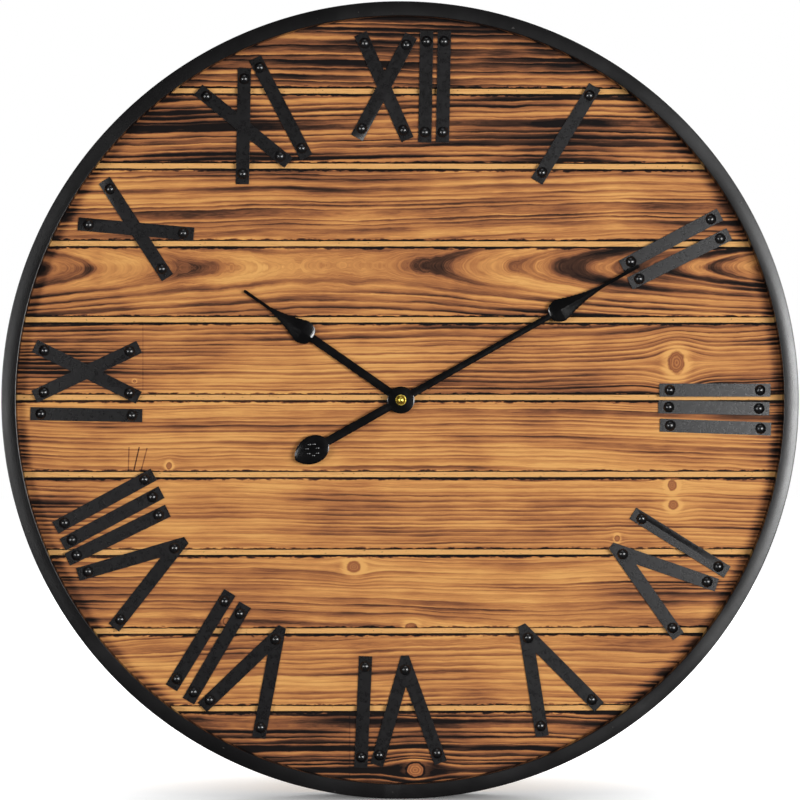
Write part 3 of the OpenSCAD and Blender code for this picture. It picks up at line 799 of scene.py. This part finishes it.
def make_board(index):
    """A burnt board: its section drawn out along x to the disc's edge, with its grain, its char and a painted
    shadow of the ring.
    """
    name = f"board_{index + 1:02d}"
    lo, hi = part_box(name)
    first, last = index == 0, index == len(SAWN) - 1
    low = lo.z if last else lo.z - BUTT
    high = hi.z if first else hi.z - TONGUE
    middle = (low + high) / 2
    how = SAWN[index]
    rng = np.random.default_rng(40 + index)
    profile = board_profile(low, high, first, last)
    count = len(profile)
    z0, depth, to_edge = profile[:, 0], profile[:, 1], profile[:, 5]
    half = np.sqrt(np.maximum(DISC_R ** 2 - z0 ** 2, 1e-10))
    x = np.linspace(-1, 1, STATIONS)[:, None] * half[None, :]
    z = np.repeat(z0[None, :], STATIONS, 0)
    split_arrises(x, z, profile, middle, rng)
    sway, lift, drift = waves(rng, 0.95, 0.11), waves(rng, 0.8, 0.17), waves(rng, 0.16, 0.03)
    ring = growth_ring(x, z, depth, low, high, how, sway, lift, drift)
    soot_and_shade = soot_and_shade_on(x, z, low, high, how, waves(rng, 0.5, 0.08), drift)

    verts = np.stack([x, np.repeat(-depth[None, :], STATIONS, 0), z], -1).reshape(-1, 3)
    mesh = bpy.data.meshes.new(name + "_burnt")
    mesh.from_pydata([tuple(v) for v in verts], [], lofted(STATIONS, count))
    full = np.ones_like(x)
    # The darkened band reaches further into the upper arris, below each pale strip: partly char, partly
    # painted shade
    edge = to_edge - np.where(z0 > middle, 0.9, 0.0)
    values = {
        "grain": np.stack([x, ring, full * (index + 1)], -1),
        "burn": np.stack([soot_and_shade, full * how.contrast, full * edge[None, :]], -1),
        "part": full[:, :, None] * profile[None, :, 2:5],
    }
    for key, value in values.items():
        layer = mesh.attributes.new(key, "FLOAT_VECTOR", "POINT")
        layer.data.foreach_set("vector", value.reshape(-1).astype(np.float32))
    clean(mesh, 2e-6)
    board = shaded(name + "_burnt", mesh, [MATERIALS["burnt_pine"]], 30)
    if low < 5 * MM and high > -5 * MM:
        bore, behind, before = 4.2 * MM, FACE_BACK - MM, FACE + MM
        carve(board, [turned([(0, behind), (bore, behind), (bore, before), (0, before)], 48)])
    stand_for(board, name)


# ---- Nails and screws ----

def make_nails():
    """Domed decorative nails, each knocked in a little off square."""
    rng = np.random.default_rng(7)
    parts = []
    for lo, hi in loose_parts("nails"):
        radius, rise = (hi.x - lo.x) / 2, 3.2 * MM
        under = -lo.y - rise
        ball = (radius ** 2 + rise ** 2) / (2 * rise)
        crown = [(ball * math.sin(a), rise - ball + ball * math.cos(a))
                 for a in np.linspace(0, math.asin(0.94 * radius / ball), 9)]
        profile = crown + [(radius * 0.985, 0.32 * MM), (radius, 0.16 * MM), (radius * 0.97, 0.0), (MM, 0.0),
                           (MM, -8 * MM), (0, -10 * MM)]
        verts, faces = turned(profile, 36)
        tilt = Matrix.Rotation(rng.normal(0, 0.014), 4, "X") @ Matrix.Rotation(rng.normal(0, 0.014), 4, "Z")
        spot = Matrix.Translation(((lo.x + hi.x) / 2, -under, (lo.z + hi.z) / 2))
        parts.append((moved(verts, spot @ tilt), faces))
    nails = object_of("nails_domed", *joined(parts), MATERIALS["black_nail"], 50)
    stand_for(nails, "nails")


def make_screws():
    """Pan-head wood screws with a cross recess. Their heads face the wall."""
    rng = np.random.default_rng(11)
    parts, templates = [], {}
    for lo, hi in loose_parts("wood_screws"):
        length = round((hi.y - lo.y) / MM)
        if length not in templates:
            shank = length * MM - 2 * MM
            profile = [(0, -2 * MM), (1.6 * MM, -1.9 * MM), (2.7 * MM, -1.5 * MM), (3.35 * MM, -0.8 * MM),
                       (3.5 * MM, -0.2 * MM), (3.4 * MM, 0), (1.75 * MM, 0), (1.7 * MM, 2 * MM)]
            pitch = 1.2 * MM
            for t in range(int((shank - 5 * MM) / pitch)):
                at = 2 * MM + t * pitch
                profile += [(1.2 * MM, at + 0.45 * MM), (1.7 * MM, at + 1.05 * MM)]
            profile.append((0, shank))
            screw = object_of("screw", *turned(profile, 28), MATERIALS["zinc_steel"])
            arm, slot = 1.9 * MM, 0.38 * MM
            carve(screw, [box_mesh((-a, MM, -b), (a, 2.6 * MM, b)) for a, b in ((arm, slot), (slot, arm))])
            templates[length] = ([v.co.copy() for v in screw.data.vertices],
                                 [tuple(f.vertices) for f in screw.data.polygons])
            bpy.data.objects.remove(screw)
        verts, faces = templates[length]
        seat = Matrix.Translation(((lo.x + hi.x) / 2, hi.y - 2 * MM, (lo.z + hi.z) / 2))
        parts.append((moved(verts, seat @ Matrix.Rotation(rng.uniform(0, TAU), 4, "Y")), faces))
    stand_for(object_of("wood_screws_cross", *joined(parts), MATERIALS["zinc_steel"], 40), "wood_screws")


# ---- Hands ----

def outline_of(node):
    """The hand's direction, and its half width at points along it, from the CAD plate's own outline."""
    co = np.array([v.co for v in NODES[node].data.vertices])
    tip = co[np.argmax(co[:, 0] ** 2 + co[:, 2] ** 2)]
    angle = math.atan2(tip[0], tip[2])
    u = co[:, 0] * math.sin(angle) + co[:, 2] * math.cos(angle)
    v = np.abs(co[:, 0] * math.cos(angle) - co[:, 2] * math.sin(angle))
    keep = np.hypot(u, v) > 4 * MM
    table = {}
    for a, b in zip(np.round(u[keep] / MM, 2), v[keep]):
        table[a] = max(table.get(a, 0), b)
    us = np.array(sorted(table)) * MM
    return angle, us, np.array([table[round(a / MM, 2)] for a in us])


def axes_at(angle):
    """The directions along and across a hand that points at this angle."""
    return Vector((math.sin(angle), 0, math.cos(angle))), Vector((math.cos(angle), 0, -math.sin(angle)))


def steady(us, hs, fine):
    """Half widths at the fine points, on a smooth curve that never overshoots the given ones."""
    step = np.diff(us)
    slope = np.diff(hs) / step
    before, after = (np.where(part == 0, 1, part) for part in (slope[:-1], slope[1:]))
    inner = np.where(slope[1:] * slope[:-1] > 0, 2 / (1 / after + 1 / before), 0)
    tangent = np.concatenate([[slope[0]], inner, [slope[-1]]])
    i = np.clip(np.searchsorted(us, fine) - 1, 0, len(step) - 1)
    t = (fine - us[i]) / step[i]
    h0, h1 = hs[i], hs[i + 1]
    m0, m1 = tangent[i] * step[i], tangent[i + 1] * step[i]
    return (2 * t ** 3 - 3 * t ** 2 + 1) * h0 + (t ** 3 - 2 * t ** 2 + t) * m0 + \
        (-2 * t ** 3 + 3 * t ** 2) * h1 + (t ** 3 - t ** 2) * m1


def egg_lift(along, across):
    """How far the tail's dome rises over the plate."""
    centre, half_length, half_width = -96 * MM, 19 * MM, 13 * MM
    spot = np.hypot((along - centre) / half_length, across / half_width)
    return 0.9 * MM * np.clip(1 - spot ** 2, 0, 1) ** 0.8


def make_hand(node, ridge, arm_ridge, egg):
    """A pressed hand: the plate's outline, with a crease along the leaf and a domed hub and tail."""
    angle, us, hs = outline_of(node)
    lo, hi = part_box(node)
    back, front = -hi.y, -lo.y
    fine = np.unique(np.concatenate([np.linspace(a, b, 4) for a, b in zip(us[:-1], us[1:])]))
    half = np.maximum(steady(us, hs, fine), 0.25 * MM)
    shares = np.array([-1, -0.9, -0.72, -0.5, -0.26, -0.06, 0, 0.06, 0.26, 0.5, 0.72, 0.9, 1])
    leaf_from, egg_to, hub = 0.5 * fine[-1], -70 * MM, 11 * MM
    widest = half[fine > leaf_from].max()
    rows = []
    for a, h in zip(fine, half):
        v = shares * h
        crease = 1 - np.abs(shares)
        if a > leaf_from:
            lift = (arm_ridge + (ridge - arm_ridge) * (h / widest)) * crease
        else:
            lift = arm_ridge * crease
        distance = np.hypot(a, v)
        hub_dome = 0.55 * MM * np.clip(1 - (distance / hub) ** 2, 0, 1)
        blend = np.clip((distance - 8 * MM) / (5 * MM), 0, 1)
        lift = lift * blend + hub_dome
        if egg and a < egg_to:
            lift = egg_lift(a, v)
        rows.append((a, v, front + lift - 0.12 * MM * (np.abs(shares) == 1), h))
    verts = []
    along, across = axes_at(angle)
    for a, v, top, h in rows:
        ring = list(zip(v, top)) + [(h, back), (-h, back)]
        verts += [along * a + across * b + Vector((0, -d, 0)) for b, d in ring]
    faces = lofted(len(rows), len(shares) + 2)
    stand_for(object_of(node + "_pressed", verts, faces, MATERIALS["hand_black"], 28), node)


def make_tail_beads():
    """Seven small beads in an oval on the tail, which catch the light there."""
    along, across = axes_at(outline_of("minute_hand")[0])
    plate = -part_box("minute_hand")[0].y
    count, radius, rise, root = 7, 1.5 * MM, 0.36 * MM, 0.5 * MM
    dome = [(r, rise * (1 - (r / radius) ** 2)) for r in np.linspace(0, radius, 8)]
    parts = []
    for k in range(count):
        turn = TAU * (k + 0.2) / count
        verts, faces = turned(dome + [(radius, -root), (0, -root)], 24)
        u, v = -97 * MM + 5.2 * MM * math.cos(turn), 5.8 * MM * math.sin(turn)
        spot = along * u + across * v - Vector((0, plate + egg_lift(u, v) + 0.06 * MM, 0))
        parts.append((moved(verts, Matrix.Translation(spot)), faces))
    beads = object_of("minute_tail_beads", *joined(parts), MATERIALS["hand_black"], 40)
    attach(beads, BODY_OF["minute_hand"])


def make_cap_nut():
    """The turned brass nut: a thin flange, a groove and a dome."""
    lo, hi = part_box("cap_nut")
    radius, back, top = hi.x, -hi.y, -lo.y
    dome = [(0.86 * radius * math.sin(a), back + 1.2 * MM + (top - back - 1.2 * MM) * math.cos(a))
            for a in np.linspace(math.pi / 2, 0, 12)]
    profile = [(0, back), (radius * 0.97, back), (radius, back + 0.15 * MM), (radius, back + 0.75 * MM),
               (radius * 0.96, back + 0.95 * MM), (radius * 0.84, back + 0.98 * MM)] + dome
    stand_for(object_of("cap_nut_turned", *turned(profile, 64), MATERIALS["brass"], 40), "cap_nut")


# ---- Battery and contacts ----

def along_x(profile, segments, centre_y, centre_z):
    """(radius, x) points turned round a line along X."""
    verts, faces = turned([(r, 0) for r, _ in profile], segments)
    xs = [x for _, x in profile]
    return [Vector((xs[i % len(xs)], centre_y + v[0], centre_z + v[2])) for i, v in enumerate(verts)], faces


def make_battery():
    """An AA cell with a plain wrap rolled over its steel ends."""
    lo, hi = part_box("battery")
    y, z = (lo.y + hi.y) / 2, (lo.z + hi.z) / 2
    r, left, right = (hi.z - lo.z) / 2, lo.x, hi.x
    can = left + 1.3 * MM
    wrap = [(0.78 * r, can + 0.25 * MM), (0.84 * r, can), (0.95 * r, can + 0.1 * MM), (r, can + 0.7 * MM),
            (0.995 * r, can + 2 * MM), (0.995 * r, right - 2 * MM), (r, right - 0.7 * MM),
            (0.95 * r, right - 0.05 * MM), (0.84 * r, right), (0.78 * r, right - 0.25 * MM)]
    ends = [(0, left), (1.9 * MM, left), (2.5 * MM, left + 0.3 * MM), (2.6 * MM, can + 0.1 * MM),
            (3.6 * MM, can + 0.3 * MM), (0.8 * r, can + 0.35 * MM), (0.8 * r, can + 2 * MM),
            (0.8 * r, right - 2 * MM), (0.8 * r, right - 0.35 * MM), (0.5 * r, right - 0.1 * MM),
            (0, right - 0.1 * MM)]
    cell = object_of("battery_cell", *along_x(wrap, 56, y, z), MATERIALS["battery_wrap"], 40)
    steel = object_of("battery_ends", *along_x(ends, 56, y, z), MATERIALS["zinc_steel"], 40)
    stand_for(cell, "battery")
    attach(steel, BODY_OF["battery"])


def make_contacts():
    """A flat contact for the nub and a conical spring for the base, each on its plate."""
    lo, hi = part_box("battery_contacts")
    cell_lo, cell_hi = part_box("battery")
    y, z = (cell_lo.y + cell_hi.y) / 2, (cell_lo.z + cell_hi.z) / 2
    tall, wide, plate = 5 * MM, 4 * MM, 0.4 * MM
    parts = [box_mesh((x, y - wide, z - tall), (x + plate, y + wide, z + tall)) for x in (lo.x, hi.x - plate)]
    start, end, wire = cell_hi.x + 0.35 * MM, hi.x - plate, 0.28 * MM
    turns, sides = 2.5, 8
    steps = int(turns * 28)
    verts = []
    for s in range(steps + 1):
        t = s / steps
        a = TAU * turns * t
        reach = 3.2 * MM + 0.7 * MM * t
        middle = Vector((start + (end - start - wire) * t, y + reach * math.cos(a), z + reach * math.sin(a)))
        outward = Vector((0, math.cos(a), math.sin(a)))
        for k in range(sides):
            b = TAU * k / sides
            verts.append(middle + outward * wire * math.cos(b) + Vector((wire * math.sin(b), 0, 0)))
    parts.append((verts, lofted(steps + 1, sides)))
    contacts = object_of("battery_contacts_sprung", *joined(parts), MATERIALS["zinc_steel"], 40)
    stand_for(contacts, "battery_contacts")


# ---- Movement cover ----

def bead(outer, inner, low, high):
    """A raised band between two outlines of as many points, from depth low to depth high."""
    count = len(outer)
    loops = [(outer, high), (outer, low), (inner, low), (inner, high)]
    verts = [(x, -depth, z) for outline, depth in loops for x, z in outline]
    faces = []
    for a in range(4):
        b = (a + 1) % 4
        for i in range(count):
            j = (i + 1) % count
            faces.append((a * count + i, a * count + j, b * count + j, b * count + i))
    return verts, faces


def make_cover_relief():
    """Moulded beads on the movement's cover: a frame, a collar round the setting knob and four ridges."""
    lo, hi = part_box("movement_cover")
    knob_lo, knob_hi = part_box("setting_knob")
    surface, height, width = -hi.y, 0.5 * MM, 0.9 * MM
    over_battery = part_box("battery")[1].z + 2.5 * MM

    def frame_line(inset):
        left, right, bottom, top = lo.x + inset, hi.x - inset, over_battery + inset, hi.z - inset
        return rounded([(left, bottom), (right, bottom), (right, top), (left, top)], 3 * MM, 5)

    def circle(radius, count=48):
        x, z = (knob_lo.x + knob_hi.x) / 2, (knob_lo.z + knob_hi.z) / 2
        turns = [TAU * k / count for k in range(count)]
        return [(x + radius * math.cos(a), z + radius * math.sin(a)) for a in turns]

    base, top = surface + 0.2 * MM, surface - height
    knob_r = (knob_hi.x - knob_lo.x) / 2
    parts = [bead(frame_line(3 * MM), frame_line(3 * MM + width), base, top),
             bead(circle(knob_r + 2 * MM), circle(knob_r + 2 * MM - width), base, top)]
    middle_x, half_length, half_width, spacing = hi.x - 13 * MM, 5 * MM, 0.5 * MM, 2.4 * MM
    for k in range(4):
        z = hi.z - 12 * MM - k * spacing
        left, right = middle_x - half_length, middle_x + half_length
        under, over = z - half_width, z + half_width
        ridge = rounded([(left, under), (right, under), (right, over), (left, over)], 0.45 * MM, 4)
        spine = [(middle_x + (x - middle_x) * 0.02, z) for x, _ in ridge]
        parts.append(bead(ridge, spine, base, top))
    relief = object_of("cover_relief", *joined(parts), MATERIALS["movement_plastic"], 30)
    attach(relief, BODY_OF["movement_cover"])


# ---- Studio ----

FACE_CENTRE = (0, -RING_FRONT, 0)
# Each light's place, aim, size in metres and watts
LIGHTS = {
    "key_right": ((2.1, -3.1, 0.05), FACE_CENTRE, (1.3, 1.5), 71),
    "key_left": ((-2.2, -3.0, 0.02), FACE_CENTRE, (0.8, 0.9), 37),
    "rim_right": ((1.18, -3.3, -0.02), FACE_CENTRE, (0.5, 0.54), 27),
    "rim_left": ((-1.0, -3.3, 0.0), FACE_CENTRE, (0.4, 0.5), 3.4),
    "over": ((0.0, -1.6, 2.6), FACE_CENTRE, (1.6, 1.0), 6),
    "side_right": ((3.2, 0.7, 0.6), (0, 0, 0), (1.2, 1.6), 28),
    "side_left": ((-3.2, 0.7, 0.6), (0, 0, 0), (1.2, 1.6), 20),
    "back_fill": ((0.8, 3.2, 1.4), (0, 0, 0), (2.0, 1.6), 60),
    "back_side": ((-2.4, 2.2, 0.4), (0, 0, 0), (1.2, 1.2), 24),
}
WORLD_FILL = 0.07
CAMERA_AT = (-0.063, -3.0 - RING_FRONT, 0.0)
CAMERA_AIM = (-MM, -RING_FRONT, 0)
CAMERA_LENS = 141.4


def aimed(place, aim):
    """The rotation that points a lamp or camera at `place` towards `aim`."""
    return (Vector(aim) - Vector(place)).to_track_quat("-Z", "Y").to_euler()


def soft_box(name, place, aim, size, watts):
    """A rectangular area light."""
    light = bpy.data.lights.new(name, "AREA")
    light.shape, light.size, light.size_y = "RECTANGLE", size[0], size[1]
    light.energy = watts
    lamp = placed(name, light)
    lamp.location, lamp.rotation_euler = place, aimed(place, aim)


def make_studio():
    """White world and floor, the lights, and the camera in front of the face."""
    scene = bpy.context.scene
    scene.view_settings.view_transform = "Standard"
    scene.view_settings.look = "None"

    # The world is white to the eye and dimmer as a light
    world = bpy.data.worlds.new("studio")
    scene.world = world
    world.use_nodes = True
    tree = world.node_tree
    tree.nodes.clear()
    output = tree.nodes.new("ShaderNodeOutputWorld")
    seen, fill = tree.nodes.new("ShaderNodeBackground"), tree.nodes.new("ShaderNodeBackground")
    seen.inputs[0].default_value, seen.inputs[1].default_value = (1, 1, 1, 1), 1.0
    fill.inputs[0].default_value, fill.inputs[1].default_value = (1, 1, 1, 1), WORLD_FILL
    path, choose = tree.nodes.new("ShaderNodeLightPath"), tree.nodes.new("ShaderNodeMixShader")
    tree.links.new(path.outputs["Is Camera Ray"], choose.inputs[0])
    tree.links.new(fill.outputs[0], choose.inputs[1])
    tree.links.new(seen.outputs[0], choose.inputs[2])
    tree.links.new(choose.outputs[0], output.inputs[0])

    # White paper that glows, except in a painted soft oval shadow under the clock, where the glow is turned
    # down
    p = Paint("floor_paper", Specular_IOR_Level=0.1, Emission_Color=(1, 1, 1, 1))
    shadow_wide, shadow_deep = 0.34, 0.2
    from_clock = p.length(p.stretch(p.place(), 1 / shadow_wide, 1 / shadow_deep, 0))
    p.set(p.shader.inputs["Emission Strength"], p.ease(from_clock, 0.1, 1.5, 0.05, 1.0))
    paper = p.noise(p.place(), 3, 3, 0.5)
    p.colour(p.ramp(paper, (0.3, rgb(240, 240, 240)), (0.7, rgb(246, 246, 246))))
    p.roughness(p.ease(paper, 0.3, 0.7, 0.7, 0.8))
    reach, ground = 9.0, CAD_BOX[0].z
    verts = [(x, y, ground) for x, y in ((-reach, -reach), (reach, -reach), (reach, reach), (-reach, reach))]
    floor = object_of("floor", verts, [(0, 1, 2, 3)], p.material)
    floor.visible_diffuse = floor.visible_glossy = False

    for name, settings in LIGHTS.items():
        soft_box(name, *settings)

    camera = placed("camera", bpy.data.cameras.new("camera"))
    camera.location, camera.rotation_euler = CAMERA_AT, aimed(CAMERA_AT, CAMERA_AIM)
    camera.data.sensor_width, camera.data.lens = 36, CAMERA_LENS
    scene.camera = camera


make_studio()
make_ring()
for board_index in range(len(SAWN)):
    make_board(board_index)
for node_name in sorted(NODES):
    if node_name.startswith("numeral_"):
        finished(node_name, "_plate", [MATERIALS["numeral_steel"], WORN], 0.25 * MM)
make_nails()
make_hand("hour_hand", 1.3 * MM, 0.3 * MM, egg=False)
make_hand("minute_hand", 1.7 * MM, 0.35 * MM, egg=True)
make_tail_beads()
make_cap_nut()
for node_name in ("batten_left", "batten_right"):
    finished(node_name, "_planed", [MATERIALS["plain_pine"]], 0.9 * MM, 3)
for node_name in ("hanger_plates", "rim_brackets", "face_washer", "fixing_nut"):
    finished(node_name, "_edged", [MATERIALS[SLOT_OF[node_name]]], 0.2 * MM)
for node_name in ("movement_case", "movement_cover"):
    finished(node_name, "_moulded", [MATERIALS["movement_plastic"]], 0.22 * MM)
make_screws()
make_battery()
make_contacts()
make_cover_relief()
for node_name, cad_object in NODES.items():
    cad_object.data.materials.clear()
    cad_object.data.materials.append(MATERIALS[SLOT_OF[node_name]])

bpy.context.view_layer.update()
